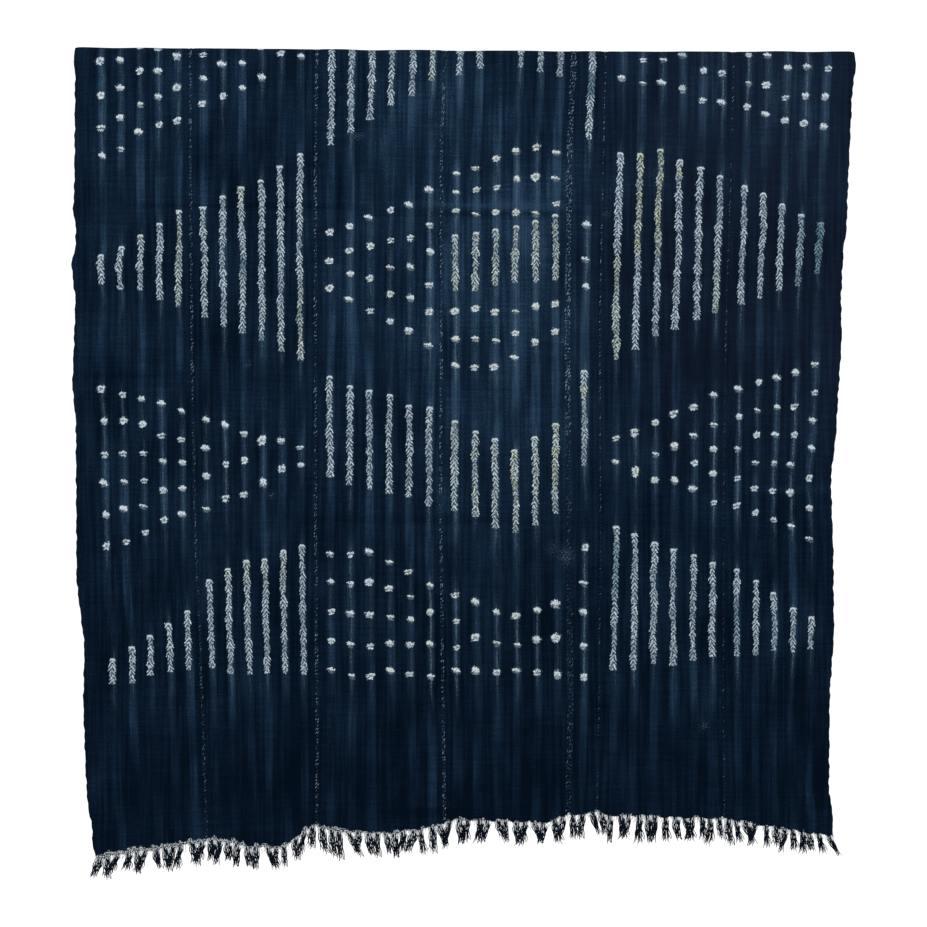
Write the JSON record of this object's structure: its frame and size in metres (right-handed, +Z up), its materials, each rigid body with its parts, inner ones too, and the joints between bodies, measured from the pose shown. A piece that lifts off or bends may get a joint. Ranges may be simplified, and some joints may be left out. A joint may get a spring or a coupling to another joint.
{
  "type": "folded strip-woven indigo resist-dyed wrapper cloth",
  "caption": "Indigo wrapper cloth of narrow woven strips sewn edge to edge, folded over a rod line, with pale resist-stitched marks and fringed hems.",
  "frame": {"origin": "middle of the cloth's top edge, on the line of the rod that holds it", "axes": "+Z up, +X along the rod to the viewer's right, the long front layer faces -Y"},
  "size_m": [1, 0.0359, 1.0677],
  "materials": {
    "indigo_cloth": "hand-spun cotton, deep indigo dyed with pale resist marks",
    "fringe_yarn": "loose dark indigo cotton warp ends",
    "seam_thread": "pale hand-sewn cotton thread"
  },
  "bodies": {
    "root": {"strip_1": "indigo_cloth", "strip_2": "indigo_cloth", "strip_3": "indigo_cloth", "strip_4": "indigo_cloth", "strip_5": "indigo_cloth", "strip_6": "indigo_cloth", "strip_7": "indigo_cloth", "fringe_front_1": "fringe_yarn", "fringe_front_2": "fringe_yarn", "fringe_front_3": "fringe_yarn", "fringe_front_4": "fringe_yarn", "fringe_front_5": "fringe_yarn", "fringe_front_6": "fringe_yarn", "fringe_front_7": "fringe_yarn", "fringe_back_1": "fringe_yarn", "fringe_back_2": "fringe_yarn", "fringe_back_3": "fringe_yarn", "fringe_back_4": "fringe_yarn", "fringe_back_5": "fringe_yarn", "fringe_back_6": "fringe_yarn", "fringe_back_7": "fringe_yarn"}
  },
  "joints": []
}
